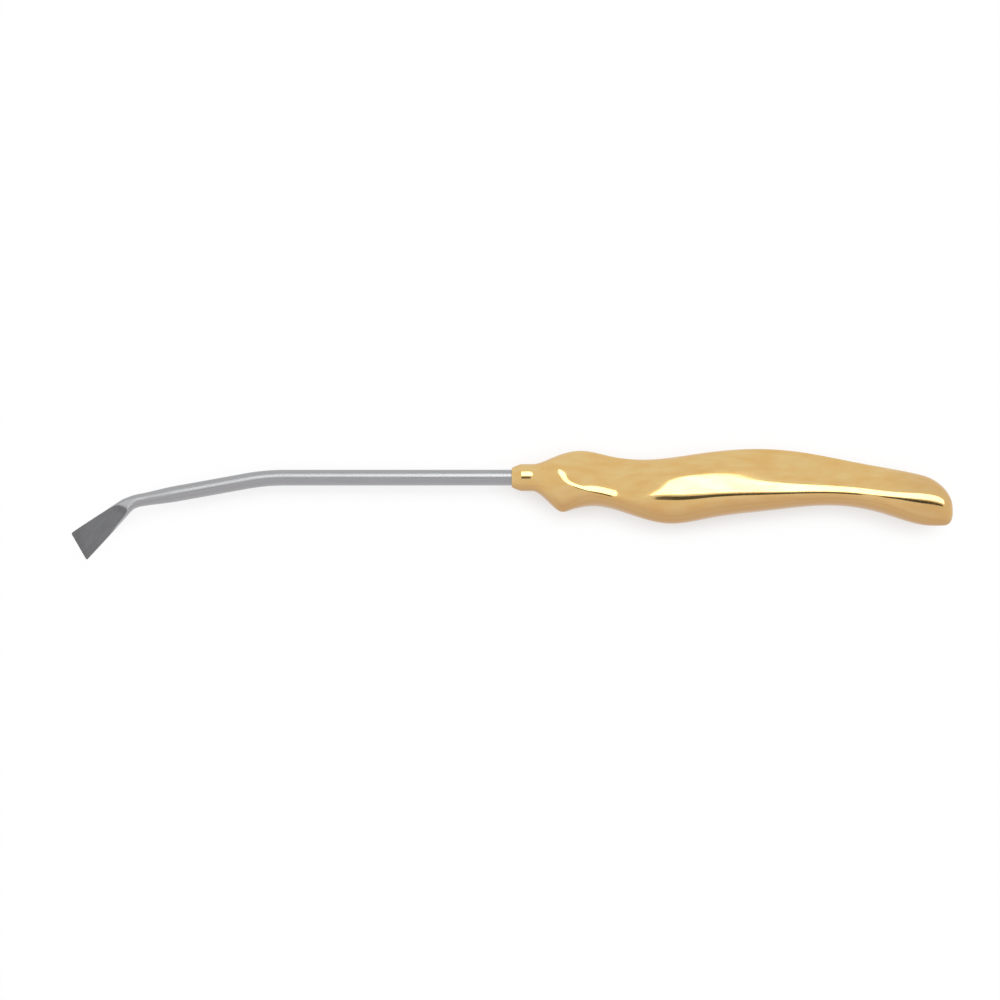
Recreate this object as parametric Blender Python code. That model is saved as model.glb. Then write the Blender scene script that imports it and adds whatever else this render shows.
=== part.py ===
"""A scalp elevator: a plated, cast grip on a bent steel shaft that ends in a ground chisel blade.

The instrument is drawn in its own profile plane and then laid on its side. In the drawing,
x runs from the collar's mouth back to the heel of the grip, y rises to the spine of the grip,
and z is the thickness, the same on both sides of the profile plane. The shaft runs to minus x.
Sizes are in millimetres until the meshes are made.
"""
import math

import bmesh
import bpy
import numpy as np
from mathutils import Matrix, Vector

MM = 0.001

# Grip: the collar that takes the shaft
COLLAR_WALL = 1.25
COLLAR_LENGTH = 5.6
LIP_WIDTH = 0.15
LIP_LENGTH = 2.6
LIP_ROUNDNESS = 1.2

# Grip: the places of its crowns and hollows, from the collar's mouth
GRIP_LENGTH = 119.7
BULB_PLACE = 18.5
WAIST_PLACE = 37.0
PALM_PLACE = 67.0
STOP_PLACE = 13.4
HOLLOW_PLACE = 21.5
BELLY_PLACE = 42.5
SLIMMEST_PLACE = 27.5
THICKEST_PLACE = 58.0
# and the same measured forward from the heel
TAIL_REACH = 13.7
ARCH_REACH = 30.8
HEEL_REACH = 7.7

# Grip: heights of the spine over the shaft's axis, and of the underside below it
BULB_HEIGHT = 7.5
WAIST_HEIGHT = 5.0
PALM_HEIGHT = 8.0
TAIL_HEIGHT = 1.9
HEEL_HEIGHT = -1.9
STOP_DROP = 8.4
HOLLOW_DROP = 7.8
BELLY_DROP = 12.75
ARCH_DROP = 7.7
HEEL_DROP = 13.2

# Grip: the corner of the finger stop, which stands out of the underside
STOP_CORNER_DEPTH = 1.1
STOP_CORNER_SPREAD = 2.6

# Grip: half its thickness
STOP_HALF = 6.2
SLIMMEST_HALF = 5.5
THICKEST_HALF = 6.8
TAIL_HALF = 6.0
HEEL_HALF = 5.8

# Grip: how its end is rounded off, on the spine, on the underside and across
END_DROP = 9.2
SPINE_ROUNDING = 8.7
BELLY_ROUNDING = 2.8
SIDE_ROUNDING = 12.0

# Grip: its section, an oval with a crest low on each flank and a slope on each side of the crest
STOP_CREST_DROP = 2.5
BULB_CREST_DROP = 4.6
WAIST_CREST_DROP = 7.7
BELLY_CREST_DROP = 6.2
PALM_CREST_DROP = 7.0
ARCH_CREST_DROP = 8.3
TAIL_CREST_DROP = 6.5
HEEL_CREST_DROP = 7.6
STOP_SPINE_SLOPE = 0.18
HOLLOW_SPINE_SLOPE = 0.335
WAIST_SPINE_SLOPE = 0.335
BELLY_SPINE_SLOPE = 0.28
PALM_SPINE_SLOPE = 0.295
TAIL_SPINE_SLOPE = 0.40
STOP_BELLY_SLOPE = 0.34
BELLY_SLOPE = 0.28
BELLY_CREST_SOFTNESS = 4.2
WAIST_CREST_SOFTNESS = 0.5
TAIL_CREST_SOFTNESS = 1.2
SQUARENESS = 3.0
WAIST_SQUARENESS = 5.0

# Shaft
SHAFT_DIAMETER = 4.3
FIRST_BEND_PLACE = 67.1
FIRST_BEND_ANGLE = math.radians(10.5)
FIRST_BEND_RADIUS = 58.0
SLOPE_LENGTH = 37.2
NECK_DIAMETER = 3.5
NECK_TAPER = 10.0
SECOND_BEND_ANGLE = math.radians(31.9)
SECOND_BEND_RADIUS = 9.0

# Socket in the collar, and the shaft's tang in it
SOCKET_DEPTH = 22.0
SOCKET_CLEARANCE = 0.3
TANG_END_GAP = 0.5
DRILL_POINT = 1.2
TANG_CHAMFER = 0.5

# Blade: from the second bend, along its own axis
BLADE_LENGTH = 18.5
BLADE_WIDTH = 8.45
BLANK_THICKNESS = 2.6
BLANK_SQUARENESS = 5.0
EDGE_SKEW = math.radians(11.5)
CORNER_ROUNDING = 0.5
GRIND_START = 4.9
RUN_OUT_SKEW = math.radians(17)
WHEEL_RADIUS = 14.0
FACE_ROOT_THICKNESS = 2.0
FACE_TIP_THICKNESS = 0.7
BEVEL_LENGTH = 1.6
EDGE_THICKNESS = 0.36

# How it comes to rest on its flank, on bulb and palm: spine turned down, blade end a little low
REST_ROLL = math.radians(11.0)
REST_PITCH = math.radians(0.3)

# Mesh detail
GRIP_SIDES = 44
GRIP_STEP = 1.7
END_RINGS = 11
SHAFT_SIDES = 28
BEND_RINGS = 8
TAPER_RINGS = 5
BLADE_RINGS = 10
ROUNDING_RINGS = 4
WHEEL_STEPS = 12
SHARP_ANGLE = math.radians(32)


def clear_scene():
    for item in list(bpy.data.objects):
        bpy.data.objects.remove(item, do_unlink=True)


def between(start, end, share):
    return start + (end - start) * share


def ease(place, start, end):
    """Rises smoothly from 0 at start to 1 at end."""
    share = min(max((place - start) / (end - start), 0.0), 1.0)
    return share * share * (3.0 - 2.0 * share)


def smooth_curve(knots):
    """A curve through (place, value) knots with no jump in curvature, level at its first knot."""
    places = np.array([place for place, value in knots])
    values = np.array([value for place, value in knots])
    steps = np.diff(places)
    rises = np.diff(values) / steps
    count = len(places)
    matrix = np.zeros((count, count))
    target = np.zeros(count)
    matrix[0, 0] = 1.0
    for i in range(1, count - 1):
        matrix[i, i - 1] = steps[i]
        matrix[i, i] = 2.0 * (steps[i - 1] + steps[i])
        matrix[i, i + 1] = steps[i - 1]
        target[i] = 3.0 * (steps[i] * rises[i - 1] + steps[i - 1] * rises[i])
    matrix[-1, -2:] = 1.0, 2.0
    target[-1] = 3.0 * rises[-1]
    slopes = np.linalg.solve(matrix, target)

    def value_at(place):
        place = min(max(place, places[0]), places[-1])
        i = min(max(int(np.searchsorted(places, place)) - 1, 0), count - 2)
        step = steps[i]
        t = (place - places[i]) / step
        start = (1 + 2 * t) * (1 - t) ** 2 * values[i] + t * (1 - t) ** 2 * step * slopes[i]
        end = t * t * (3 - 2 * t) * values[i + 1] - t * t * (1 - t) * step * slopes[i + 1]
        return float(start + end)

    return value_at


SOCKET_RADIUS = SHAFT_DIAMETER / 2 + SOCKET_CLEARANCE
COLLAR_RADIUS = SOCKET_RADIUS + COLLAR_WALL
TAIL_PLACE = GRIP_LENGTH - TAIL_REACH
ARCH_PLACE = GRIP_LENGTH - ARCH_REACH
HEEL_PLACE = GRIP_LENGTH - HEEL_REACH


def part_way(start, end, along, risen):
    """A knot a share of the way along between two knots, where the curve has risen its own share."""
    return between(start[0], end[0], along), between(start[1], end[1], risen)


def spine_curve():
    collar = (COLLAR_LENGTH, COLLAR_RADIUS)
    bulb = (BULB_PLACE, BULB_HEIGHT)
    waist = (WAIST_PLACE, WAIST_HEIGHT)
    palm = (PALM_PLACE, PALM_HEIGHT)
    tail = (TAIL_PLACE, TAIL_HEIGHT)
    heel = (GRIP_LENGTH, HEEL_HEIGHT)
    return smooth_curve([
        collar, part_way(collar, bulb, 0.42, 0.46),
        bulb, part_way(bulb, waist, 0.46, 0.62),
        waist, part_way(waist, palm, 0.5, 0.6),
        palm, part_way(palm, tail, 0.33, 0.17), part_way(palm, tail, 0.69, 0.62),
        tail, part_way(tail, heel, 0.58, 0.5),
        heel,
    ])


def belly_curve():
    collar = (COLLAR_LENGTH, -COLLAR_RADIUS)
    stop = (STOP_PLACE, -STOP_DROP)
    hollow = (HOLLOW_PLACE, -HOLLOW_DROP)
    belly = (BELLY_PLACE, -BELLY_DROP)
    arch = (ARCH_PLACE, -ARCH_DROP)
    heel = (HEEL_PLACE, -HEEL_DROP)
    return smooth_curve([
        collar, part_way(collar, stop, 0.56, 0.61),
        stop, hollow, part_way(hollow, belly, 0.45, 0.39),
        belly, part_way(belly, arch, 0.25, 0.32), part_way(belly, arch, 0.6, 0.74),
        arch, part_way(arch, heel, 0.54, 0.42),
        heel, (GRIP_LENGTH, -HEEL_DROP),
    ])


def half_thickness_curve():
    collar = (COLLAR_LENGTH, COLLAR_RADIUS)
    stop = (STOP_PLACE, STOP_HALF)
    slimmest = (SLIMMEST_PLACE, SLIMMEST_HALF)
    thickest = (THICKEST_PLACE, THICKEST_HALF)
    tail = (TAIL_PLACE, TAIL_HALF)
    return smooth_curve([
        collar, part_way(collar, stop, 0.5, 0.55),
        stop, part_way(stop, slimmest, 0.56, 0.25),
        slimmest, part_way(slimmest, thickest, 0.28, 0.43),
        thickest, part_way(thickest, tail, 0.38, 0.2), part_way(thickest, tail, 0.71, 0.9),
        tail, (GRIP_LENGTH, HEEL_HALF),
    ])


def crest_curve():
    return smooth_curve([
        (COLLAR_LENGTH, 0.0), (STOP_PLACE, -STOP_CREST_DROP), (BULB_PLACE, -BULB_CREST_DROP),
        (SLIMMEST_PLACE, -WAIST_CREST_DROP), (BELLY_PLACE, -BELLY_CREST_DROP), (THICKEST_PLACE, -PALM_CREST_DROP),
        (ARCH_PLACE, -ARCH_CREST_DROP), (TAIL_PLACE, -TAIL_CREST_DROP), (GRIP_LENGTH, -HEEL_CREST_DROP),
    ])


def spine_slope_curve():
    stop = (STOP_PLACE, STOP_SPINE_SLOPE)
    hollow = (HOLLOW_PLACE, HOLLOW_SPINE_SLOPE)
    palm = (PALM_PLACE, PALM_SPINE_SLOPE)
    tail = (TAIL_PLACE, TAIL_SPINE_SLOPE)
    return smooth_curve([
        (COLLAR_LENGTH, 0.0), stop, part_way(stop, hollow, 0.345, 1.0), hollow,
        (SLIMMEST_PLACE, WAIST_SPINE_SLOPE), (BELLY_PLACE, BELLY_SPINE_SLOPE),
        palm, part_way(palm, tail, 0.35, 0.9), tail, (GRIP_LENGTH, TAIL_SPINE_SLOPE),
    ])


def belly_slope_curve():
    return smooth_curve([
        (COLLAR_LENGTH, 0.0), (STOP_PLACE, STOP_BELLY_SLOPE), (BELLY_PLACE, BELLY_SLOPE), (GRIP_LENGTH, BELLY_SLOPE),
    ])


def crest_softness(place):
    """The crest's radius: crisp from stop to waist, soft over the belly, and crisper to the tail."""
    crisp = ease(place, COLLAR_LENGTH, STOP_PLACE) - ease(place, SLIMMEST_PLACE, BELLY_PLACE)
    forward = between(BELLY_CREST_SOFTNESS, WAIST_CREST_SOFTNESS, crisp)
    return between(forward, TAIL_CREST_SOFTNESS, ease(place, BELLY_PLACE, ARCH_PLACE))


def squareness(place):
    """The section's power: round at the collar, squarer along the grip, and squarest at the waist."""
    rounder = between(2.0, SQUARENESS, ease(place, COLLAR_LENGTH, STOP_PLACE))
    waist = ease(place, STOP_PLACE, BULB_PLACE) - ease(place, SLIMMEST_PLACE, BELLY_PLACE)
    return rounder + (WAIST_SQUARENESS - SQUARENESS) * waist


spine_line = spine_curve()
belly_line = belly_curve()
half_line = half_thickness_curve()
crest_line = crest_curve()
spine_slope_line = spine_slope_curve()
belly_slope_line = belly_slope_curve()


def end_rounding(place, length, power):
    """1 along the grip, falling to 0 over the last length of it as a rounded corner does."""
    share = min(max((place - (GRIP_LENGTH - length)) / length, 0.0), 1.0)
    return (1.0 - share ** power) ** (1.0 / power)


def spine_height(place):
    return -END_DROP + (spine_line(place) + END_DROP) * end_rounding(place, SPINE_ROUNDING, 2.5)


def belly_height(place):
    corner = STOP_CORNER_DEPTH * math.exp(-((place - STOP_PLACE) / STOP_CORNER_SPREAD) ** 2)
    line = belly_line(place) - corner
    return -END_DROP + (line + END_DROP) * end_rounding(place, BELLY_ROUNDING, 2.8)


def grip_section(place, sides):
    """The grip's outline across, as (y, z) points all the way round from the spine.

    Its thickness falls away from the crest on both slopes, and closes roundly at spine and belly.
    """
    top = spine_height(place)
    bottom = belly_height(place)
    middle = (top + bottom) / 2
    reach = (top - bottom) / 2
    crest = crest_line(place)
    softness = crest_softness(place)
    up = spine_slope_line(place)
    down = belly_slope_line(place)
    power = squareness(place)
    half = half_line(place)
    side_rounding = end_rounding(place, SIDE_ROUNDING, 2.4)
    points = []
    for i in range(sides):
        angle = 2 * math.pi * i / sides
        share = math.cos(angle)
        above = middle + reach * share - crest
        bend = math.hypot(above, softness) - softness
        fall = up * (bend + above) / 2 + down * (bend - above) / 2
        closing = math.sqrt(max(1.0 - abs(share) ** power, 0.0))
        thickness = (half - fall) * closing * side_rounding
        points.append((middle + reach * share, math.copysign(thickness, math.sin(angle))))
    return points


def circle_section(radius, sides):
    turns = [2 * math.pi * i / sides for i in range(sides)]
    return [(radius * math.cos(turn), radius * math.sin(turn)) for turn in turns]


def loft(name, start, rings, end, material):
    """Skins a row of rings of (x, y, z) points, and closes it with a point or a flat at each end."""
    mesh = bpy.data.meshes.new(name)
    builder = bmesh.new()
    rows = [[builder.verts.new(Vector(point) * MM) for point in ring] for ring in rings]
    for near, far in zip(rows, rows[1:]):
        for i in range(len(near)):
            j = (i + 1) % len(near)
            builder.faces.new((near[i], near[j], far[j], far[i]))
    for tip, row in ((start, rows[0]), (end, rows[-1])):
        if tip is None:
            builder.faces.new(row)
            continue
        pole = builder.verts.new(Vector(tip) * MM)
        for i in range(len(row)):
            builder.faces.new((pole, row[i], row[(i + 1) % len(row)]))
    bmesh.ops.recalc_face_normals(builder, faces=builder.faces)
    builder.to_mesh(mesh)
    builder.free()
    mesh.shade_smooth()
    mesh.set_sharp_from_angle(angle=SHARP_ANGLE)
    mesh.materials.append(material)
    item = bpy.data.objects.new(name, mesh)
    bpy.context.scene.collection.objects.link(item)
    return item


def metal(name, colour, roughness):
    material = bpy.data.materials.new(name)
    material.use_nodes = True
    shader = material.node_tree.nodes["Principled BSDF"]
    shader.inputs["Base Color"].default_value = (*colour, 1.0)
    shader.inputs["Metallic"].default_value = 1.0
    shader.inputs["Roughness"].default_value = roughness
    return material


def collar_rings():
    """The drilled socket from its bottom to the mouth, then the collar's slanted, rounded lip."""
    rings = [(SOCKET_DEPTH, SOCKET_RADIUS), (0.0, SOCKET_RADIUS)]
    for i in range(ROUNDING_RINGS + 1):
        turn = math.pi / 2 * i / ROUNDING_RINGS
        back = 1 - math.cos(turn)
        out = (1 - (1 - back) ** LIP_ROUNDNESS) ** (1 / LIP_ROUNDNESS)
        rings.append((LIP_LENGTH * back, between(SOCKET_RADIUS + LIP_WIDTH, COLLAR_RADIUS, out)))
    return [[(place, y, z) for y, z in circle_section(radius, GRIP_SIDES)] for place, radius in rings]


def body_places():
    """Even steps along the body, then closer ones round its end."""
    start_of_end = GRIP_LENGTH - SPINE_ROUNDING
    count = math.ceil((start_of_end - COLLAR_LENGTH) / GRIP_STEP)
    places = [between(COLLAR_LENGTH, start_of_end, i / count) for i in range(count)]
    for i in range(END_RINGS):
        places.append(start_of_end + SPINE_ROUNDING * math.sin(math.pi / 2 * i / END_RINGS))
    return places


def make_grip():
    rings = collar_rings()
    for place in body_places():
        rings.append([(place, y, z) for y, z in grip_section(place, GRIP_SIDES)])
    material = metal("gold_plate", (0.86, 0.62, 0.27), 0.12)
    socket_end = (SOCKET_DEPTH + DRILL_POINT, 0.0, 0.0)
    heel = (GRIP_LENGTH, -END_DROP, 0.0)
    return loft("grip", socket_end, rings, heel, material)


def oval_section(half_width, half_thickness, power, sides):
    """A superellipse: an oval at power 2, squarer above."""
    points = []
    for i in range(sides):
        turn = 2 * math.pi * i / sides
        v = math.copysign(abs(math.cos(turn)) ** (2 / power), math.cos(turn))
        z = math.copysign(abs(math.sin(turn)) ** (2 / power), math.sin(turn))
        points.append((half_width * v, half_thickness * z))
    return points


def placed_ring(centre, heading, section, skew=0.0):
    """Sets a section square to the shaft at a centre in the profile plane.

    Heading is the way the shaft runs there. Skew turns the ring in the profile plane, as a slant cut.
    """
    along = Vector((math.cos(heading), math.sin(heading), 0.0))
    across = Vector((math.sin(heading), -math.cos(heading), 0.0))
    base = Vector((centre[0], centre[1], 0.0))
    return [tuple(base + across * v - along * (v * skew) + Vector((0, 0, z))) for v, z in section]


# The shaft's centre line: towards minus x, then down at each bend
FIRST_HEADING = math.pi
SECOND_HEADING = FIRST_HEADING + FIRST_BEND_ANGLE
BLADE_HEADING = SECOND_HEADING + SECOND_BEND_ANGLE
FIRST_CORNER = Vector((-FIRST_BEND_PLACE, 0.0))
SECOND_CORNER = FIRST_CORNER + SLOPE_LENGTH * Vector((math.cos(SECOND_HEADING), math.sin(SECOND_HEADING)))
SECOND_BEND_REACH = SECOND_BEND_RADIUS * math.tan(SECOND_BEND_ANGLE / 2)


def bend_places(corner, heading, angle, radius, count):
    """Centres and headings round a bend, from where it leaves the run before its corner."""
    reach = radius * math.tan(angle / 2)
    start = corner - reach * Vector((math.cos(heading), math.sin(heading)))
    hub = start + radius * Vector((-math.sin(heading), math.cos(heading)))
    places = []
    for i in range(count + 1):
        turned = heading + angle * i / count
        centre = hub + radius * Vector((math.sin(turned), -math.cos(turned)))
        places.append((centre, turned))
    return places


def blade_section(distance):
    """The forged blank's section at a distance past the second bend's corner."""
    neck = NECK_DIAMETER / 2
    share = max(distance, 0.0) / BLADE_LENGTH
    half_width = between(neck, BLADE_WIDTH / 2, share)
    to_tip = max(distance - (BLADE_LENGTH - CORNER_ROUNDING), 0.0)
    half_width -= CORNER_ROUNDING - math.sqrt(CORNER_ROUNDING ** 2 - to_tip ** 2)
    flattened = ease(distance, -SECOND_BEND_REACH, GRIND_START)
    half_thickness = between(neck, BLANK_THICKNESS / 2, flattened)
    power = between(2.0, BLANK_SQUARENESS, flattened)
    return oval_section(half_width, half_thickness, power, SHAFT_SIDES)


def tang_rings():
    """The straight tang that fills the socket, chamfered at its end."""
    radius = SHAFT_DIAMETER / 2
    end = SOCKET_DEPTH - TANG_END_GAP
    rings = []
    for place, size in ((end, radius - TANG_CHAMFER), (end - TANG_CHAMFER, radius)):
        rings.append(placed_ring((place, 0.0), FIRST_HEADING, circle_section(size, SHAFT_SIDES)))
    return rings


def rod_rings():
    """The round rod round its first bend and down to the neck before the blade."""
    section = circle_section(SHAFT_DIAMETER / 2, SHAFT_SIDES)
    bend = bend_places(FIRST_CORNER, FIRST_HEADING, FIRST_BEND_ANGLE, FIRST_BEND_RADIUS, BEND_RINGS)
    rings = [placed_ring(centre, heading, section) for centre, heading in bend]
    down = Vector((math.cos(SECOND_HEADING), math.sin(SECOND_HEADING)))
    for i in range(TAPER_RINGS):
        before = SECOND_BEND_REACH + NECK_TAPER * (1 - i / TAPER_RINGS)
        narrowing = ease(i / TAPER_RINGS, 0.0, 1.0)
        radius = between(SHAFT_DIAMETER, NECK_DIAMETER, narrowing) / 2
        centre = SECOND_CORNER - down * before
        rings.append(placed_ring(centre, SECOND_HEADING, circle_section(radius, SHAFT_SIDES)))
    return rings


def blade_rings():
    """The blank round the second bend and out to its slanted tip."""
    rings = []
    bend = bend_places(SECOND_CORNER, SECOND_HEADING, SECOND_BEND_ANGLE, SECOND_BEND_RADIUS, BEND_RINGS)
    for i, (centre, heading) in enumerate(bend):
        distance = between(-SECOND_BEND_REACH, SECOND_BEND_REACH, i / BEND_RINGS)
        rings.append(placed_ring(centre, heading, blade_section(distance)))
    out = Vector((math.cos(BLADE_HEADING), math.sin(BLADE_HEADING)))
    start_of_corner = BLADE_LENGTH - CORNER_ROUNDING
    distances = [between(SECOND_BEND_REACH, start_of_corner, (i + 1) / BLADE_RINGS) for i in range(BLADE_RINGS)]
    for i in range(1, ROUNDING_RINGS):
        distances.append(start_of_corner + CORNER_ROUNDING * math.sin(math.pi / 2 * i / ROUNDING_RINGS))
    for distance in distances:
        skew = math.tan(EDGE_SKEW) * ease(distance, SECOND_BEND_REACH, start_of_corner)
        centre = SECOND_CORNER + out * distance
        rings.append(placed_ring(centre, BLADE_HEADING, blade_section(distance), skew))
    return rings


def make_shaft():
    rings = tang_rings() + rod_rings() + blade_rings()
    return loft("shaft_and_blade", None, rings, None, metal("steel", (0.60, 0.60, 0.61), 0.28))


def face_half(distance):
    """Half the blade's thickness between its two ground faces."""
    share = (distance - GRIND_START) / (BLADE_LENGTH - GRIND_START)
    return between(FACE_ROOT_THICKNESS, FACE_TIP_THICKNESS, share) / 2


def blade_point(distance, across, height, skew=0.0):
    """A point by its distance past the second corner, across towards the spine, and over the plane."""
    along = Vector((math.cos(BLADE_HEADING), math.sin(BLADE_HEADING), 0.0))
    side = Vector((math.sin(BLADE_HEADING), -math.cos(BLADE_HEADING), 0.0))
    corner = Vector((SECOND_CORNER.x, SECOND_CORNER.y, 0.0))
    return corner + along * (distance - across * skew) + side * across + Vector((0, 0, height))


def grind_profile():
    """The grinding wheel's path over one face: its run-out at the root, then flat past the tip."""
    slope = math.atan((FACE_ROOT_THICKNESS - FACE_TIP_THICKNESS) / 2 / (BLADE_LENGTH - GRIND_START))
    clear = BLANK_THICKNESS
    run_out = math.acos(1 - (clear - face_half(GRIND_START)) / WHEEL_RADIUS)
    profile = []
    for i in range(WHEEL_STEPS + 1):
        turn = slope + run_out * (1 - i / WHEEL_STEPS)
        back = WHEEL_RADIUS * (math.sin(turn) - math.sin(slope))
        up = WHEEL_RADIUS * (math.cos(slope) - math.cos(turn))
        profile.append((GRIND_START - back, face_half(GRIND_START) + up))
    past = BLADE_LENGTH + BLADE_WIDTH
    profile.append((past, face_half(past)))
    return profile + [(past, profile[0][1])]


def bevel_profile():
    """The straight bevel that thins the last of the blade to its edge."""
    start = BLADE_LENGTH - BEVEL_LENGTH
    fall = (face_half(start) - EDGE_THICKNESS / 2) / BEVEL_LENGTH
    before = start - BEVEL_LENGTH
    past = BLADE_LENGTH + BEVEL_LENGTH
    edge = EDGE_THICKNESS / 2
    high = edge + fall * (BLADE_LENGTH - before)
    return [(before, high), (past, edge - fall * BEVEL_LENGTH), (past, high)]


def blade_cutter(name, profile, side, skew, shaft):
    """Cuts a profile of (distance, height) points from one side of the blade, right across it."""
    reach = BLADE_WIDTH
    mesh = bpy.data.meshes.new(name)
    builder = bmesh.new()
    rows = []
    for across in (-reach, reach):
        points = [blade_point(distance, across, side * height, skew) for distance, height in profile]
        rows.append([builder.verts.new(point * MM) for point in points])
    for i in range(len(profile)):
        j = (i + 1) % len(profile)
        builder.faces.new((rows[0][i], rows[0][j], rows[1][j], rows[1][i]))
    builder.faces.new(rows[0])
    builder.faces.new(rows[1])
    bmesh.ops.recalc_face_normals(builder, faces=builder.faces)
    builder.to_mesh(mesh)
    builder.free()
    cutter = bpy.data.objects.new(name, mesh)
    bpy.context.scene.collection.objects.link(cutter)
    cutter.hide_render = True
    cutter.display_type = "WIRE"
    cut = shaft.modifiers.new(name, "BOOLEAN")
    cut.operation = "DIFFERENCE"
    cut.solver = "EXACT"
    cut.object = cutter
    return cutter


def grind_blade(shaft):
    """Grinds both faces, whose run-out slants back to the spine, and bevels both along the edge."""
    run_out_skew = -math.tan(RUN_OUT_SKEW)
    edge_skew = math.tan(EDGE_SKEW)
    cutters = []
    for label, side in (("upper", 1), ("lower", -1)):
        cutters.append(blade_cutter("face_grind_" + label, grind_profile(), side, run_out_skew, shaft))
        cutters.append(blade_cutter("edge_bevel_" + label, bevel_profile(), side, edge_skew, shaft))
    return cutters


def lay_down(pieces, cutters):
    """Turns the instrument onto its flank, and sets its lowest point and middle on the origin."""
    turn = Matrix.Rotation(-REST_PITCH, 4, "Y") @ Matrix.Rotation(-REST_ROLL, 4, "X")
    graph = bpy.context.evaluated_depsgraph_get()
    cut_meshes = [piece.evaluated_get(graph).data for piece in pieces]
    corners = np.array([turn @ vertex.co for mesh in cut_meshes for vertex in mesh.vertices])
    low = corners.min(axis=0)
    high = corners.max(axis=0)
    bench = bpy.data.objects.new("at_rest", None)
    bpy.context.scene.collection.objects.link(bench)
    shift = Matrix.Translation((-(low[0] + high[0]) / 2, -(low[1] + high[1]) / 2, -low[2]))
    bench.matrix_world = shift @ turn
    for item in pieces + cutters:
        item.parent = bench


def main():
    clear_scene()
    grip = make_grip()
    shaft = make_shaft()
    cutters = grind_blade(shaft)
    lay_down([grip, shaft], cutters)


main()
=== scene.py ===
"""The look of a scalp elevator: a gold-plated cast grip on a satin steel shaft with a ground blade.

The pieces are drawn finely in the instrument's own profile plane, from the sizes of its solids, and
then lie on the flank where the solids lie. In the drawing, x runs from the collar's mouth back to
the heel of the grip, y rises to the spine of the grip, and z is the thickness, the same on both
sides of the profile plane. The shaft runs to minus x. Drawing sizes are in millimetres, and the
sizes of lights, camera and floor are in metres.
"""
import math

import bmesh
import bpy
import numpy as np
from mathutils import Matrix, Vector


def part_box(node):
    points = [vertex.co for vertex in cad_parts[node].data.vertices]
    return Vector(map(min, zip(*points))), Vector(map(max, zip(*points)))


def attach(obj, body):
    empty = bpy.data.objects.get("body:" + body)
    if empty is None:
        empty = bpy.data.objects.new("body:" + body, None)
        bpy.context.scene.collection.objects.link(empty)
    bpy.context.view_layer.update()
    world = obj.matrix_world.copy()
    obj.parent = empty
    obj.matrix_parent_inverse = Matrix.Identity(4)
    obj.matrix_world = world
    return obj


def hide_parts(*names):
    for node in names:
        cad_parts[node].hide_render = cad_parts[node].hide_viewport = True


MM = 0.001

# Grip: the collar that takes the shaft
COLLAR_WALL = 1.25
COLLAR_LENGTH = 5.6
LIP_WIDTH = 0.15
LIP_LENGTH = 2.6
LIP_ROUNDNESS = 1.2

# Grip: the places of its crowns and hollows, back from the collar's mouth
GRIP_LENGTH = 119.7
BULB_PLACE = 18.5
WAIST_PLACE = 37.0
PALM_PLACE = 67.0
STOP_PLACE = 13.4
HOLLOW_PLACE = 21.5
BELLY_PLACE = 42.5
SLIMMEST_PLACE = 27.5
THICKEST_PLACE = 58.0

# Grip: the places of its arch, tail and heel, forward from its end
TAIL_REACH = 13.7
ARCH_REACH = 30.8
HEEL_REACH = 7.7

# Grip: heights of the spine over the shaft's axis, and of the underside below it
BULB_HEIGHT = 7.5
WAIST_HEIGHT = 5.0
PALM_HEIGHT = 8.0
TAIL_HEIGHT = 1.9
HEEL_HEIGHT = -1.9
STOP_DROP = 8.4
HOLLOW_DROP = 7.8
BELLY_DROP = 12.75
ARCH_DROP = 7.7
HEEL_DROP = 13.2

# Grip: the corner of the finger stop, which stands out of the underside
STOP_CORNER_DEPTH = 1.1
STOP_CORNER_SPREAD = 2.6

# Grip: half its thickness
STOP_HALF = 6.2
SLIMMEST_HALF = 5.5
THICKEST_HALF = 6.8
TAIL_HALF = 6.0
HEEL_HALF = 5.8

# Grip: how its end is rounded off, on the spine, on the underside and across
END_DROP = 9.2
SPINE_ROUNDING = 8.7
BELLY_ROUNDING = 2.8
SIDE_ROUNDING = 12.0

# Grip: its section, an oval with a crest low on each flank and a slope on each side of the crest
STOP_CREST_DROP = 2.5
BULB_CREST_DROP = 4.6
WAIST_CREST_DROP = 7.7
BELLY_CREST_DROP = 6.2
PALM_CREST_DROP = 7.0
ARCH_CREST_DROP = 8.3
TAIL_CREST_DROP = 6.5
HEEL_CREST_DROP = 7.6
STOP_SPINE_SLOPE = 0.18
HOLLOW_SPINE_SLOPE = 0.335
WAIST_SPINE_SLOPE = 0.335
BELLY_SPINE_SLOPE = 0.28
PALM_SPINE_SLOPE = 0.295
TAIL_SPINE_SLOPE = 0.40
STOP_BELLY_SLOPE = 0.34
BELLY_SLOPE = 0.28
BELLY_CREST_SOFTNESS = 4.2
WAIST_CREST_SOFTNESS = 0.5
TAIL_CREST_SOFTNESS = 1.2
SQUARENESS = 3.0
WAIST_SQUARENESS = 5.0

# Shaft
SHAFT_DIAMETER = 4.3
FIRST_BEND_PLACE = 67.1
FIRST_BEND_ANGLE = math.radians(10.5)
FIRST_BEND_RADIUS = 58.0
SLOPE_LENGTH = 37.2
NECK_DIAMETER = 3.5
NECK_TAPER = 10.0
SECOND_BEND_ANGLE = math.radians(31.9)
SECOND_BEND_RADIUS = 9.0

# Socket in the collar, the shaft's tang in it and the solder that closes the joint between them
SOCKET_DEPTH = 22.0
SOCKET_CLEARANCE = 0.3
TANG_END_GAP = 0.5
DRILL_POINT = 1.2
TANG_CHAMFER = 0.5
SOLDER_DEPTH = 1.5
SOLDER_SINK = 0.3

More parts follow.
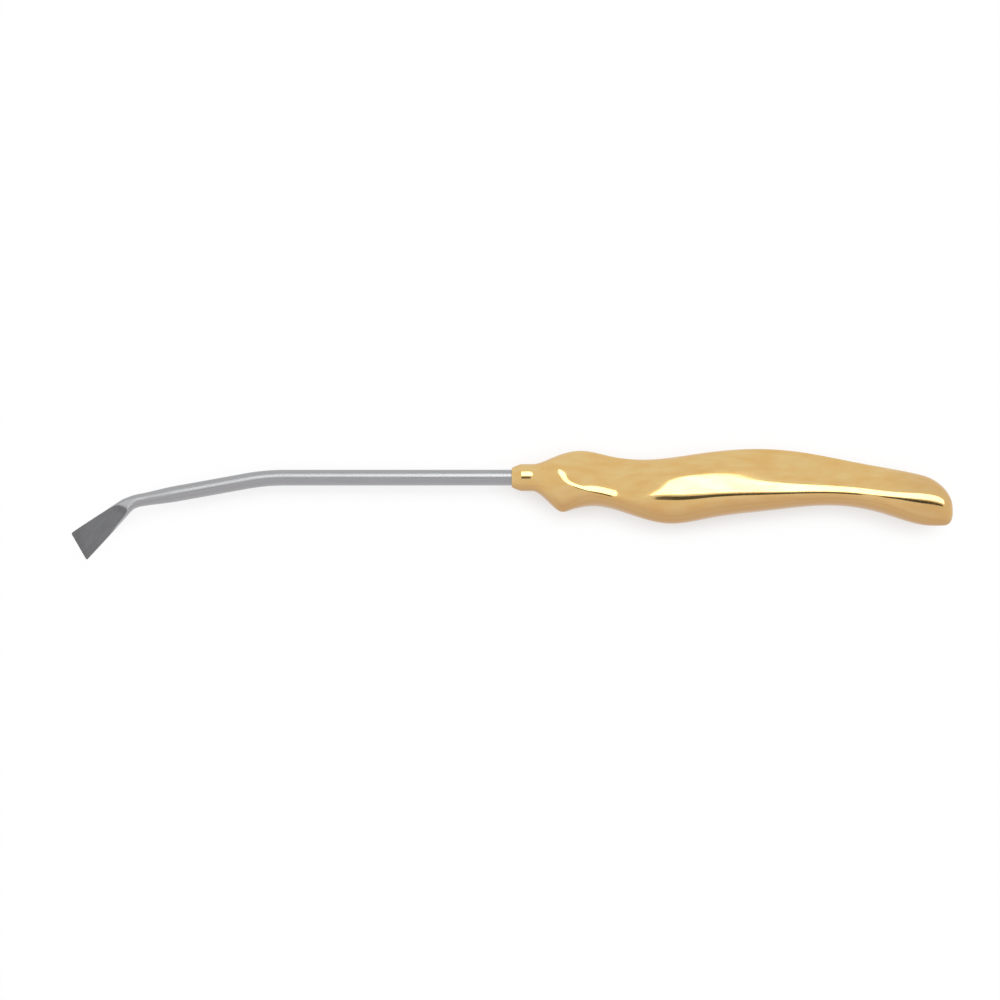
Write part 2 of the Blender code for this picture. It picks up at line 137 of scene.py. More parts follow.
# Blade: from the second bend, along its own axis
BLADE_LENGTH = 18.5
BLADE_WIDTH = 8.45
BLANK_THICKNESS = 2.6
BLANK_SQUARENESS = 5.0
EDGE_SKEW = math.radians(11.5)
CORNER_ROUNDING = 0.5
GRIND_START = 4.9
RUN_OUT_SKEW = math.radians(17)
WHEEL_RADIUS = 14.0
FACE_ROOT_THICKNESS = 2.0
FACE_TIP_THICKNESS = 0.7
BEVEL_LENGTH = 1.6
EDGE_THICKNESS = 0.36
GROUND_EDGE = 0.07
SIDE_RUN_OUT = 6.0
BARELY_GROUND = 0.02
FULLY_GROUND = 0.14

# How it comes to rest on its flank, on bulb and palm: spine turned down, blade end a little low
REST_ROLL = math.radians(11.0)
REST_PITCH = math.radians(0.3)

# Painted shade on the plating: how dark it is painted at the grip's edges and towards the heel, as a share
# of the belly's, and where each sets in
EDGE_PAINTED_SHADE = 0.7
EDGE_SHADE_START = 0.3
EDGE_SHADE_FULL = 0.8
HEEL_DARKENING = 0.33
HEEL_DARKENING_REACH = 22.0
HEEL_DARKENING_FULL_REACH = 7.0
BELLY_SHADE_START = 0.58
BELLY_SHADE_FULL = 1.05

# Metal: heights of its finest marks, in metres, and how far the drawn rod stretches reflections
WAVE_HEIGHT = 0.000022
WHEEL_LINE_HEIGHT = 0.0000006
DRAWN_LINE_HEIGHT = 0.000004
SCORE_HEIGHT = 0.000006
DRAWN_STRETCH = 0.62

# Colours, as linear red, green and blue
PALE_GOLD = (0.728, 0.515, 0.222)
WARM_GOLD = (0.702, 0.445, 0.165)
# Painted shade: the darker gold laid on the grip's underside and edges, and towards its heel
SHADED_GOLD = (0.515, 0.306, 0.134)
ROD_DARK = (0.338, 0.341, 0.347)
ROD_LIGHT = (0.402, 0.405, 0.411)
# The blade's ground face: a darker grey, partly its ground finish and partly painted shade for the dark
# surroundings its flat face reflects
FACE_FINISH_AND_SHADE_DARK = (0.112, 0.113, 0.116)
FACE_FINISH_AND_SHADE_LIGHT = (0.185, 0.186, 0.190)
SOLDER_DARK = (0.50, 0.48, 0.44)
SOLDER_LIGHT = (0.66, 0.63, 0.58)
TENT_WHITE = (1.0, 1.0, 1.0)
TENT_FRONT = (0.94, 0.90, 0.92)
CLOTH_GREY = (0.10, 0.10, 0.10)
CARD_WHITE = (0.81, 0.81, 0.81)

# Mesh detail
GRIP_SIDES = 160
GRIP_STEP = 0.45
END_RINGS = 60
LIP_RINGS = 16
WALL_RINGS = 8
SHAFT_SIDES = 144
BEND_RINGS = 40
TAPER_RINGS = 30
BLADE_RINGS = 170
CORNER_RINGS = 8
SHARP_ANGLE = math.radians(40)

# The view: nearly straight down, in metres across the picture at the instrument's height
VIEW_WIDTH = 0.2721
VIEW_LEAN = math.radians(2.0)
VIEW_TARGET = Vector((-0.00334, 0.00109, 0.0065))
CAMERA_LENS = 100.0
CAMERA_SENSOR = 36.0

# The softbox over the spine's side, and how far its far corners are rounded along it
SOFTBOX_ANGLE = math.radians(34)
SOFTBOX_DISTANCE = 1.0
SOFTBOX_HEIGHT = 0.70
SOFTBOX_LEFT = -0.08
SOFTBOX_RIGHT = 2.00
SOFTBOX_LEVEL = 3.0
SOFTBOX_LEFT_ROUNDING = 0.18
SOFTBOX_RIGHT_ROUNDING = 1.10

# The dark flag overhead, whose front edge slants back to its narrow right end
FLAG_HEIGHT = 0.78
FLAG_LEFT = -0.018
FLAG_RIGHT = 1.20
FLAG_LEFT_FRONT = -0.145
FLAG_RIGHT_FRONT = 0.0
FLAG_BACK = 0.085

# The table, just under the instrument, and how far the instrument's shadow reaches over it
FLOOR_RADIUS = 4.0
FLOOR_DEPTH = 0.00005
SHADOW_REACH = 0.008


def between(start, end, share):
    return start + (end - start) * share


def ease(place, start, end):
    """Rises smoothly from 0 at start to 1 at end."""
    share = min(max((place - start) / (end - start), 0.0), 1.0)
    return share * share * (3.0 - 2.0 * share)


def smooth_curve(knots):
    """A curve through (place, value) knots with no jump in curvature, level at its first knot."""
    places = np.array([place for place, value in knots])
    values = np.array([value for place, value in knots])
    steps = np.diff(places)
    rises = np.diff(values) / steps
    count = len(places)
    matrix = np.zeros((count, count))
    target = np.zeros(count)
    matrix[0, 0] = 1.0
    for i in range(1, count - 1):
        matrix[i, i - 1] = steps[i]
        matrix[i, i] = 2.0 * (steps[i - 1] + steps[i])
        matrix[i, i + 1] = steps[i - 1]
        target[i] = 3.0 * (steps[i] * rises[i - 1] + steps[i - 1] * rises[i])
    matrix[-1, -2:] = 1.0, 2.0
    target[-1] = 3.0 * rises[-1]
    slopes = np.linalg.solve(matrix, target)

    def value_at(place):
        place = min(max(place, places[0]), places[-1])
        i = min(max(int(np.searchsorted(places, place)) - 1, 0), count - 2)
        step = steps[i]
        t = (place - places[i]) / step
        start = (1 + 2 * t) * (1 - t) ** 2 * values[i] + t * (1 - t) ** 2 * step * slopes[i]
        end = t * t * (3 - 2 * t) * values[i + 1] - t * t * (1 - t) * step * slopes[i + 1]
        return float(start + end)

    return value_at


# Sizes and places that follow from the others
SOCKET_RADIUS = SHAFT_DIAMETER / 2 + SOCKET_CLEARANCE
COLLAR_RADIUS = SOCKET_RADIUS + COLLAR_WALL
TAIL_PLACE = GRIP_LENGTH - TAIL_REACH
ARCH_PLACE = GRIP_LENGTH - ARCH_REACH
HEEL_PLACE = GRIP_LENGTH - HEEL_REACH


def part_way(start, end, along, risen):
    """A knot a share of the way along between two knots, where the curve has risen its own share."""
    return between(start[0], end[0], along), between(start[1], end[1], risen)


def spine_curve():
    collar = (COLLAR_LENGTH, COLLAR_RADIUS)
    bulb = (BULB_PLACE, BULB_HEIGHT)
    waist = (WAIST_PLACE, WAIST_HEIGHT)
    palm = (PALM_PLACE, PALM_HEIGHT)
    tail = (TAIL_PLACE, TAIL_HEIGHT)
    heel = (GRIP_LENGTH, HEEL_HEIGHT)
    return smooth_curve([
        collar, part_way(collar, bulb, 0.42, 0.46),
        bulb, part_way(bulb, waist, 0.46, 0.62),
        waist, part_way(waist, palm, 0.5, 0.6),
        palm, part_way(palm, tail, 0.33, 0.17), part_way(palm, tail, 0.69, 0.62),
        tail, part_way(tail, heel, 0.58, 0.5),
        heel,
    ])


def belly_curve():
    collar = (COLLAR_LENGTH, -COLLAR_RADIUS)
    stop = (STOP_PLACE, -STOP_DROP)
    hollow = (HOLLOW_PLACE, -HOLLOW_DROP)
    belly = (BELLY_PLACE, -BELLY_DROP)
    arch = (ARCH_PLACE, -ARCH_DROP)
    heel = (HEEL_PLACE, -HEEL_DROP)
    return smooth_curve([
        collar, part_way(collar, stop, 0.56, 0.61),
        stop, hollow, part_way(hollow, belly, 0.45, 0.39),
        belly, part_way(belly, arch, 0.25, 0.32), part_way(belly, arch, 0.6, 0.74),
        arch, part_way(arch, heel, 0.54, 0.42),
        heel, (GRIP_LENGTH, -HEEL_DROP),
    ])


def half_thickness_curve():
    collar = (COLLAR_LENGTH, COLLAR_RADIUS)
    stop = (STOP_PLACE, STOP_HALF)
    slimmest = (SLIMMEST_PLACE, SLIMMEST_HALF)
    thickest = (THICKEST_PLACE, THICKEST_HALF)
    tail = (TAIL_PLACE, TAIL_HALF)
    return smooth_curve([
        collar, part_way(collar, stop, 0.5, 0.55),
        stop, part_way(stop, slimmest, 0.56, 0.25),
        slimmest, part_way(slimmest, thickest, 0.28, 0.43),
        thickest, part_way(thickest, tail, 0.38, 0.2), part_way(thickest, tail, 0.71, 0.9),
        tail, (GRIP_LENGTH, HEEL_HALF),
    ])


def crest_curve():
    return smooth_curve([
        (COLLAR_LENGTH, 0.0), (STOP_PLACE, -STOP_CREST_DROP), (BULB_PLACE, -BULB_CREST_DROP),
        (SLIMMEST_PLACE, -WAIST_CREST_DROP), (BELLY_PLACE, -BELLY_CREST_DROP),
        (THICKEST_PLACE, -PALM_CREST_DROP), (ARCH_PLACE, -ARCH_CREST_DROP),
        (TAIL_PLACE, -TAIL_CREST_DROP), (GRIP_LENGTH, -HEEL_CREST_DROP),
    ])


def spine_slope_curve():
    stop = (STOP_PLACE, STOP_SPINE_SLOPE)
    hollow = (HOLLOW_PLACE, HOLLOW_SPINE_SLOPE)
    palm = (PALM_PLACE, PALM_SPINE_SLOPE)
    tail = (TAIL_PLACE, TAIL_SPINE_SLOPE)
    return smooth_curve([
        (COLLAR_LENGTH, 0.0), stop, part_way(stop, hollow, 0.345, 1.0), hollow,
        (SLIMMEST_PLACE, WAIST_SPINE_SLOPE), (BELLY_PLACE, BELLY_SPINE_SLOPE),
        palm, part_way(palm, tail, 0.35, 0.9), tail, (GRIP_LENGTH, TAIL_SPINE_SLOPE),
    ])


def belly_slope_curve():
    return smooth_curve([
        (COLLAR_LENGTH, 0.0), (STOP_PLACE, STOP_BELLY_SLOPE),
        (BELLY_PLACE, BELLY_SLOPE), (GRIP_LENGTH, BELLY_SLOPE),
    ])


def crest_softness(place):
    """The crest's radius: crisp from stop to waist, soft over the belly, and crisper to the tail."""
    crisp = ease(place, COLLAR_LENGTH, STOP_PLACE) - ease(place, SLIMMEST_PLACE, BELLY_PLACE)
    forward = between(BELLY_CREST_SOFTNESS, WAIST_CREST_SOFTNESS, crisp)
    return between(forward, TAIL_CREST_SOFTNESS, ease(place, BELLY_PLACE, ARCH_PLACE))


def squareness(place):
    """The section's power: round at the collar, squarer along the grip, and squarest at the waist."""
    rounder = between(2.0, SQUARENESS, ease(place, COLLAR_LENGTH, STOP_PLACE))
    waist = ease(place, STOP_PLACE, BULB_PLACE) - ease(place, SLIMMEST_PLACE, BELLY_PLACE)
    return rounder + (WAIST_SQUARENESS - SQUARENESS) * waist


spine_line = spine_curve()
belly_line = belly_curve()
half_line = half_thickness_curve()
crest_line = crest_curve()
spine_slope_line = spine_slope_curve()
belly_slope_line = belly_slope_curve()


def end_rounding(place, length, power):
    """1 along the grip, falling to 0 over the last length of it as a rounded corner does."""
    share = min(max((place - (GRIP_LENGTH - length)) / length, 0.0), 1.0)
    return (1.0 - share ** power) ** (1.0 / power)


def spine_height(place):
    return -END_DROP + (spine_line(place) + END_DROP) * end_rounding(place, SPINE_ROUNDING, 2.5)


def belly_height(place):
    corner = STOP_CORNER_DEPTH * math.exp(-((place - STOP_PLACE) / STOP_CORNER_SPREAD) ** 2)
    line = belly_line(place) - corner
    return -END_DROP + (line + END_DROP) * end_rounding(place, BELLY_ROUNDING, 2.8)


def grip_section(place, sides):
    """The grip's outline across, as (y, z) points all the way round from the spine.

    Its thickness falls away from the crest on both slopes, and closes roundly at spine and belly.
    """
    top = spine_height(place)
    bottom = belly_height(place)
    middle = (top + bottom) / 2
    reach = (top - bottom) / 2
    crest = crest_line(place)
    softness = crest_softness(place)
    up = spine_slope_line(place)
    down = belly_slope_line(place)
    power = squareness(place)
    half = half_line(place)
    side_rounding = end_rounding(place, SIDE_ROUNDING, 2.4)
    points = []
    for i in range(sides):
        angle = 2 * math.pi * i / sides
        share = math.cos(angle)
        above = middle + reach * share - crest
        bend = math.hypot(above, softness) - softness
        fall = up * (bend + above) / 2 + down * (bend - above) / 2
        closing = math.sqrt(max(1.0 - abs(share) ** power, 0.0))
        thickness = (half - fall) * closing * side_rounding
        points.append((middle + reach * share, math.copysign(thickness, math.sin(angle))))
    return points


def circle_section(radius, sides):
    turns = [2 * math.pi * i / sides for i in range(sides)]
    return [(radius * math.cos(turn), radius * math.sin(turn)) for turn in turns]


def mark(mesh, name, values):
    """Keeps a value for each vertex, which the material of the mesh can read by its name."""
    attribute = mesh.attributes.new(name, "FLOAT", "POINT")
    attribute.data.foreach_set("value", np.array(values, np.float32))


def new_piece(name, builder, material):
    """Makes a smooth-shaded object of a finished bmesh, in the drawing's frame."""
    bmesh.ops.recalc_face_normals(builder, faces=builder.faces)
    mesh = bpy.data.meshes.new(name)
    builder.to_mesh(mesh)
    builder.free()
    mesh.shade_smooth()
    mesh.set_sharp_from_angle(angle=SHARP_ANGLE)
    mesh.materials.append(material)
    item = bpy.data.objects.new(name, mesh)
    bpy.context.scene.collection.objects.link(item)
    return item


def skin(builder, rings):
    """Joins a row of rings of (x, y, z) points with faces, and gives back the rings of vertices."""
    rows = [[builder.verts.new(Vector(point) * MM) for point in ring] for ring in rings]
    for near, far in zip(rows, rows[1:]):
        for i in range(len(near)):
            j = (i + 1) % len(near)
            builder.faces.new((near[i], near[j], far[j], far[i]))
    return rows


def close_with_point(builder, row, point):
    pole = builder.verts.new(Vector(point) * MM)
    for i in range(len(row)):
        builder.faces.new((pole, row[i], row[(i + 1) % len(row)]))


def collar_rings():
    """The drilled socket from its bottom to the mouth, the collar's slanted lip and its straight wall."""
    rings = [(SOCKET_DEPTH, SOCKET_RADIUS), (0.0, SOCKET_RADIUS)]
    for i in range(LIP_RINGS + 1):
        turn = math.pi * i / LIP_RINGS
        back = (1 - math.cos(turn)) / 2
        out = (1 - (1 - back) ** LIP_ROUNDNESS) ** (1 / LIP_ROUNDNESS)
        rings.append((LIP_LENGTH * back, between(SOCKET_RADIUS + LIP_WIDTH, COLLAR_RADIUS, out)))
    for i in range(1, WALL_RINGS):
        rings.append((between(LIP_LENGTH, COLLAR_LENGTH, (i / WALL_RINGS) ** 2), COLLAR_RADIUS))
    return [[(place, y, z) for y, z in circle_section(radius, GRIP_SIDES)] for place, radius in rings]


def body_places():
    """Even steps along the body, then closer ones round its end."""
    start_of_end = GRIP_LENGTH - SPINE_ROUNDING
    count = math.ceil((start_of_end - COLLAR_LENGTH) / GRIP_STEP)
    places = [between(COLLAR_LENGTH, start_of_end, i / count) for i in range(count)]
    for i in range(END_RINGS):
        places.append(start_of_end + SPINE_ROUNDING * math.sin(math.pi / 2 * i / END_RINGS))
    return places


def mark_painted_shade(mesh):
    """Marks where shade is painted into the plating's colour: most along the belly, less at the edges and
    towards the heel.
    """
    shades = []
    for vertex in mesh.vertices:
        from_end = GRIP_LENGTH - vertex.co.x / MM
        at_heel = HEEL_DARKENING * (1.0 - ease(from_end, HEEL_DARKENING_FULL_REACH, HEEL_DARKENING_REACH))
        at_edge = EDGE_PAINTED_SHADE * ease(1.0 - abs(vertex.normal.z), EDGE_SHADE_START, EDGE_SHADE_FULL)
        towards_belly = -math.cos(2 * math.pi * vertex.index / GRIP_SIDES)
        at_belly = ease(towards_belly, BELLY_SHADE_START, BELLY_SHADE_FULL)
        shades.append(max(at_edge, at_belly, at_heel))
    mark(mesh, "painted_shade", shades)


def make_grip(material):
    rings = collar_rings()
    for place in body_places():
        rings.append([(place, y, z) for y, z in grip_section(place, GRIP_SIDES)])
    builder = bmesh.new()
    rows = skin(builder, rings)
    close_with_point(builder, rows[0], (SOCKET_DEPTH + DRILL_POINT, 0.0, 0.0))
    close_with_point(builder, rows[-1], (GRIP_LENGTH, -END_DROP, 0.0))
    item = new_piece("plated_grip", builder, material)
    mark_painted_shade(item.data)
    return item


def make_solder(material):
    """A ring of solder a little inside the collar's mouth, drawn up hollow between shaft and wall."""
    inner = SHAFT_DIAMETER / 2
    profile = [(SOLDER_SINK + SOLDER_DEPTH, inner), (SOLDER_SINK + SOLDER_DEPTH, SOCKET_RADIUS)]
    for i in range(LIP_RINGS + 1):
        turn = math.pi * i / LIP_RINGS
        place = SOLDER_SINK - SOCKET_CLEARANCE / 2 * (1 - math.sin(turn))
        profile.append((place, between(SOCKET_RADIUS, inner, (1 - math.cos(turn)) / 2)))
    rings = [[(place, y, z) for y, z in circle_section(radius, SHAFT_SIDES)] for place, radius in profile]
    builder = bmesh.new()
    skin(builder, rings + rings[:1])
    bmesh.ops.remove_doubles(builder, verts=builder.verts, dist=1e-7)
    return new_piece("solder_joint", builder, material)


def oval_section(half_width, half_thickness, power, sides):
    """A superellipse with evenly turned points: an oval at power 2, squarer above."""
    points = []
    for i in range(sides):
        turn = 2 * math.pi * i / sides
        v = math.cos(turn)
        z = math.sin(turn)
        size = (abs(v) ** power + abs(z) ** power) ** (-1 / power)
        points.append((half_width * size * v, half_thickness * size * z))
    return points


def placed_ring(centre, heading, section, skew=0.0):
    """Sets a section square to the shaft at a centre in the profile plane.

    Heading is the way the shaft runs there. Skew turns the ring in the profile plane, as a slant cut.
    """
    along = Vector((math.cos(heading), math.sin(heading), 0.0))
    across = Vector((math.sin(heading), -math.cos(heading), 0.0))
    base = Vector((centre[0], centre[1], 0.0))
    return [tuple(base + across * v - along * (v * skew) + Vector((0, 0, z))) for v, z in section]


# The shaft's centre line: towards minus x, then down at each bend
FIRST_HEADING = math.pi
SECOND_HEADING = FIRST_HEADING + FIRST_BEND_ANGLE
BLADE_HEADING = SECOND_HEADING + SECOND_BEND_ANGLE
FIRST_CORNER = Vector((-FIRST_BEND_PLACE, 0.0))
SECOND_CORNER = FIRST_CORNER + SLOPE_LENGTH * Vector((math.cos(SECOND_HEADING), math.sin(SECOND_HEADING)))
SECOND_BEND_REACH = SECOND_BEND_RADIUS * math.tan(SECOND_BEND_ANGLE / 2)


def bend_places(corner, heading, angle, radius, count):
    """Centres and headings round a bend, from where it leaves the run before its corner."""
    reach = radius * math.tan(angle / 2)
    start = corner - reach * Vector((math.cos(heading), math.sin(heading)))
    hub = start + radius * Vector((-math.sin(heading), math.cos(heading)))
    places = []
    for i in range(count + 1):
        turned = heading + angle * i / count
        centre = hub + radius * Vector((math.sin(turned), -math.cos(turned)))
        places.append((centre, turned))
    return places


def blank_section(distance):
    """The forged blank's section at a distance past the second bend's corner."""
    neck = NECK_DIAMETER / 2
    share = max(distance, 0.0) / BLADE_LENGTH
    half_width = between(neck, BLADE_WIDTH / 2, share)
    to_tip = max(distance - (BLADE_LENGTH - CORNER_ROUNDING), 0.0)
    half_width -= CORNER_ROUNDING - math.sqrt(CORNER_ROUNDING ** 2 - to_tip ** 2)
    flattened = ease(distance, -SECOND_BEND_REACH, GRIND_START)
    half_thickness = between(neck, BLANK_THICKNESS / 2, flattened)
    power = between(2.0, BLANK_SQUARENESS, flattened)
    return oval_section(half_width, half_thickness, power, SHAFT_SIDES)


def face_half(distance):
    """Half the blade's thickness between its two ground faces."""
    share = (distance - GRIND_START) / (BLADE_LENGTH - GRIND_START)
    return between(FACE_ROOT_THICKNESS, FACE_TIP_THICKNESS, share) / 2


def wheel_height(distance):
    """How high over the middle plane the grinding wheel passed, with its run-out at the root."""
    slope = math.atan((FACE_ROOT_THICKNESS - FACE_TIP_THICKNESS) / 2 / (BLADE_LENGTH - GRIND_START))
    if distance >= GRIND_START:
        return face_half(distance)
    sine = math.sin(slope) + (GRIND_START - distance) / WHEEL_RADIUS
    if sine >= 1.0:
        return math.inf
    return face_half(GRIND_START) + WHEEL_RADIUS * (math.cos(slope) - math.cos(math.asin(sine)))


def bevel_height(distance):
    """How high the straight bevel that thins the edge passes over the middle plane."""
    start = BLADE_LENGTH - BEVEL_LENGTH
    fall = (face_half(start) - EDGE_THICKNESS / 2) / BEVEL_LENGTH
    return EDGE_THICKNESS / 2 + fall * (BLADE_LENGTH - distance)


def lower_of(first, second):
    """The lower of two heights, eased where they cross as a ground edge is."""
    if math.isinf(second):
        return first
    return (first + second - math.hypot(first - second, GROUND_EDGE)) / 2


def ground_section(distance, skew):
    """The blank's section after grinding, and for each point how far the grinding took it down."""
    points = []
    depths = []
    for v, z in blank_section(distance):
        along = distance - v * skew
        bevel = bevel_height(along + v * math.tan(EDGE_SKEW))
        face = lower_of(bevel, wheel_height(along - v * math.tan(RUN_OUT_SKEW)))
        height = lower_of(abs(z), face)
        points.append((v, math.copysign(max(height, 0.0), z)))
        depths.append(abs(z) - height)
    return points, depths


def tang_rings():
    """The straight tang that fills the socket, chamfered at its end."""
    radius = SHAFT_DIAMETER / 2
    end = SOCKET_DEPTH - TANG_END_GAP
    rings = []
    for place, size in ((end, radius - TANG_CHAMFER), (end - TANG_CHAMFER, radius)):
        rings.append(placed_ring((place, 0.0), FIRST_HEADING, circle_section(size, SHAFT_SIDES)))
    return rings


def rod_rings():
    """The round rod round its first bend and down to the neck before the blade."""
    section = circle_section(SHAFT_DIAMETER / 2, SHAFT_SIDES)
    bend = bend_places(FIRST_CORNER, FIRST_HEADING, FIRST_BEND_ANGLE, FIRST_BEND_RADIUS, BEND_RINGS)
    rings = [placed_ring(centre, heading, section) for centre, heading in bend]
    down = Vector((math.cos(SECOND_HEADING), math.sin(SECOND_HEADING)))
    for i in range(TAPER_RINGS):
        before = SECOND_BEND_REACH + NECK_TAPER * (1 - i / TAPER_RINGS)
        radius = between(SHAFT_DIAMETER, NECK_DIAMETER, ease(i / TAPER_RINGS, 0.0, 1.0)) / 2
        centre = SECOND_CORNER - down * before
        rings.append(placed_ring(centre, SECOND_HEADING, circle_section(radius, SHAFT_SIDES)))
    return rings


def blade_stations():
    """Distance, centre, heading and skew of each ring from the second bend to the slanted tip."""
    stations = []
    bend = bend_places(SECOND_CORNER, SECOND_HEADING, SECOND_BEND_ANGLE, SECOND_BEND_RADIUS, BEND_RINGS)
    for i, (centre, heading) in enumerate(bend):
        distance = between(-SECOND_BEND_REACH, SECOND_BEND_REACH, i / BEND_RINGS)
        stations.append((distance, centre, heading, 0.0))
    out = Vector((math.cos(BLADE_HEADING), math.sin(BLADE_HEADING)))
    start_of_corner = BLADE_LENGTH - CORNER_ROUNDING
    shares = [i / BLADE_RINGS for i in range(1, BLADE_RINGS + 1)]
    distances = [between(SECOND_BEND_REACH, start_of_corner, share) for share in shares]
    for i in range(1, CORNER_RINGS):
        distances.append(start_of_corner + CORNER_ROUNDING * math.sin(math.pi / 2 * i / CORNER_RINGS))
    for distance in distances:
        skew = math.tan(EDGE_SKEW) * ease(distance, SECOND_BEND_REACH, start_of_corner)
        stations.append((distance, SECOND_CORNER + out * distance, BLADE_HEADING, skew))
    return stations


def lay_out_along(mesh, rows):
    """Gives the steel a UV layer in millimetres: distance along the shaft, and distance around it."""
    along = {}
    around = {}
    girth = math.pi * SHAFT_DIAMETER
    travelled = 0.0
    middle = None
    for row in rows:
        centre = sum((Vector(point) for point in row), Vector()) / len(row)
        travelled += 0.0 if middle is None else (centre - middle).length
        middle = centre
        for i in range(len(row)):
            along[len(along)] = travelled
            around[len(around)] = girth * i / len(row)
    layer = mesh.uv_layers.new(name="along_and_around")
    for face in mesh.polygons:
        turns = [around[v] for v in face.vertices]
        wraps = max(turns) - min(turns) > girth / 2
        for loop, v, turn in zip(face.loop_indices, face.vertices, turns):
            shown = turn + girth if wraps and turn < girth / 2 else turn
            layer.data[loop].uv = (along[v], shown)


def lay_out_blade(mesh):
    """Gives the steel a second UV layer in millimetres: distance along the blade, and across it."""
    along = Vector((math.cos(BLADE_HEADING), math.sin(BLADE_HEADING), 0.0))
    across = Vector((math.sin(BLADE_HEADING), -math.cos(BLADE_HEADING), 0.0))
    layer = mesh.uv_layers.new(name="over_the_blade")
    for loop, corner in zip(mesh.loops, layer.data):
        point = mesh.vertices[loop.vertex_index].co / MM
        corner.uv = (point.dot(along), point.dot(across))


def make_shaft(material):
    """The steel, marked with the depth in millimetres that grinding took off, also on the blade's sides."""
    rings = tang_rings() + rod_rings()
    depths = [0.0] * (len(rings) * SHAFT_SIDES)
    for distance, centre, heading, skew in blade_stations():
        section, taken = ground_section(distance, skew)
        rings.append(placed_ring(centre, heading, section, skew))
        at_sides = FULLY_GROUND * ease(distance, GRIND_START, GRIND_START + SIDE_RUN_OUT)
        depths += [max(depth, at_sides) for depth in taken]
    builder = bmesh.new()
    rows = skin(builder, rings)
    builder.faces.new(rows[0])
    builder.faces.new(rows[-1])
    item = new_piece("satin_shaft_and_blade", builder, material)
    lay_out_along(item.data, rings)
    lay_out_blade(item.data)
    mark(item.data, "ground", depths)
    return item


def connect(tree, socket, value):
    """Feeds a socket from another socket, or sets it to a plain value."""
    if isinstance(value, bpy.types.NodeSocket):
        tree.links.new(value, socket)
    else:
        socket.default_value = value


def maths(tree, operation, *values):
    node = tree.nodes.new("ShaderNodeMath")
    node.operation = operation
    for socket, value in zip(node.inputs, values):
        connect(tree, socket, value)
    return node.outputs["Value"]


def remap(tree, value, low, high, to_low, to_high, smooth=False):
    """Maps low..high to to_low..to_high, and holds the ends."""
    node = tree.nodes.new("ShaderNodeMapRange")
    node.interpolation_type = "SMOOTHSTEP" if smooth else "LINEAR"
    for socket, given in zip(node.inputs, (value, low, high, to_low, to_high)):
        connect(tree, socket, given)
    return node.outputs["Result"]


def noise(tree, vector, scale, detail=2.0, roughness=0.5):
    node = tree.nodes.new("ShaderNodeTexNoise")
    node.inputs["Scale"].default_value = scale
    node.inputs["Detail"].default_value = detail
    node.inputs["Roughness"].default_value = roughness
    tree.links.new(vector, node.inputs["Vector"])
    return node.outputs["Fac"]


def stretched(tree, vector, scale):
    node = tree.nodes.new("ShaderNodeMapping")
    node.inputs["Scale"].default_value = scale
    tree.links.new(vector, node.inputs["Vector"])
    return node.outputs["Vector"]


def blend_colours(tree, share, first, second):
    """The first colour at a share of 0 and the second at 1, each a socket or three numbers."""
    node = tree.nodes.new("ShaderNodeMix")
    node.data_type = "RGBA"
    for socket, value in ((node.inputs["Factor"], share), (node.inputs[6], first), (node.inputs[7], second)):
        connect(tree, socket, (*value, 1.0) if isinstance(value, tuple) else value)
    return node.outputs[2]


def bump(tree, height, distance, base=None):
    """A bump of a height in metres for a value from 0 to 1, over an earlier bump if there is one."""
    node = tree.nodes.new("ShaderNodeBump")
    node.inputs["Distance"].default_value = distance
    tree.links.new(height, node.inputs["Height"])
    if base is not None:
        tree.links.new(base, node.inputs["Normal"])
    return node.outputs["Normal"]


def new_metal(name):
    material = bpy.data.materials.new(name)
    material.use_nodes = True
    shader = material.node_tree.nodes["Principled BSDF"]
    shader.inputs["Metallic"].default_value = 1.0
    return material, material.node_tree, shader


def object_place(tree):
    return tree.nodes.new("ShaderNodeTexCoord").outputs["Object"]


def uv_place(tree, layer):
    node = tree.nodes.new("ShaderNodeUVMap")
    node.uv_map = layer
    return node.outputs["UV"]


def kept_value(tree, name):
    node = tree.nodes.new("ShaderNodeAttribute")
    node.attribute_name = name
    return node.outputs["Fac"]


def gold_plating():
    """Bright gold plating over a hand-polished casting: faintly wavy, clouded, with fine wheel lines, and
    painted shade darkening its underside and edges.
    """
    material, tree, shader = new_metal("gold_plating")
    place = object_place(tree)
    clouds = noise(tree, stretched(tree, place, (140.0, 400.0, 400.0)), 1.0, 2.0)
    bright = blend_colours(tree, remap(tree, clouds, 0.33, 0.67, 0.0, 1.0), PALE_GOLD, WARM_GOLD)
    # Painted shade: the plating turns to a darker gold by the marked share, on the underside, at the edges
    # and towards the heel
    colour = blend_colours(tree, kept_value(tree, "painted_shade"), bright, SHADED_GOLD)
    tree.links.new(colour, shader.inputs["Base Color"])
    lines = noise(tree, stretched(tree, place, (260.0, 2600.0, 2600.0)), 1.0, 3.0, 0.6)
    haze = noise(tree, place, 160.0, 2.0)
    lined = remap(tree, lines, 0.35, 0.75, 0.075, 0.105)
    rough = maths(tree, "ADD", lined, remap(tree, haze, 0.4, 0.8, 0.0, 0.025))
    tree.links.new(rough, shader.inputs["Roughness"])
    waves = bump(tree, noise(tree, place, 95.0, 1.0), WAVE_HEIGHT)
    tree.links.new(bump(tree, lines, WHEEL_LINE_HEIGHT, waves), shader.inputs["Normal"])
    return material


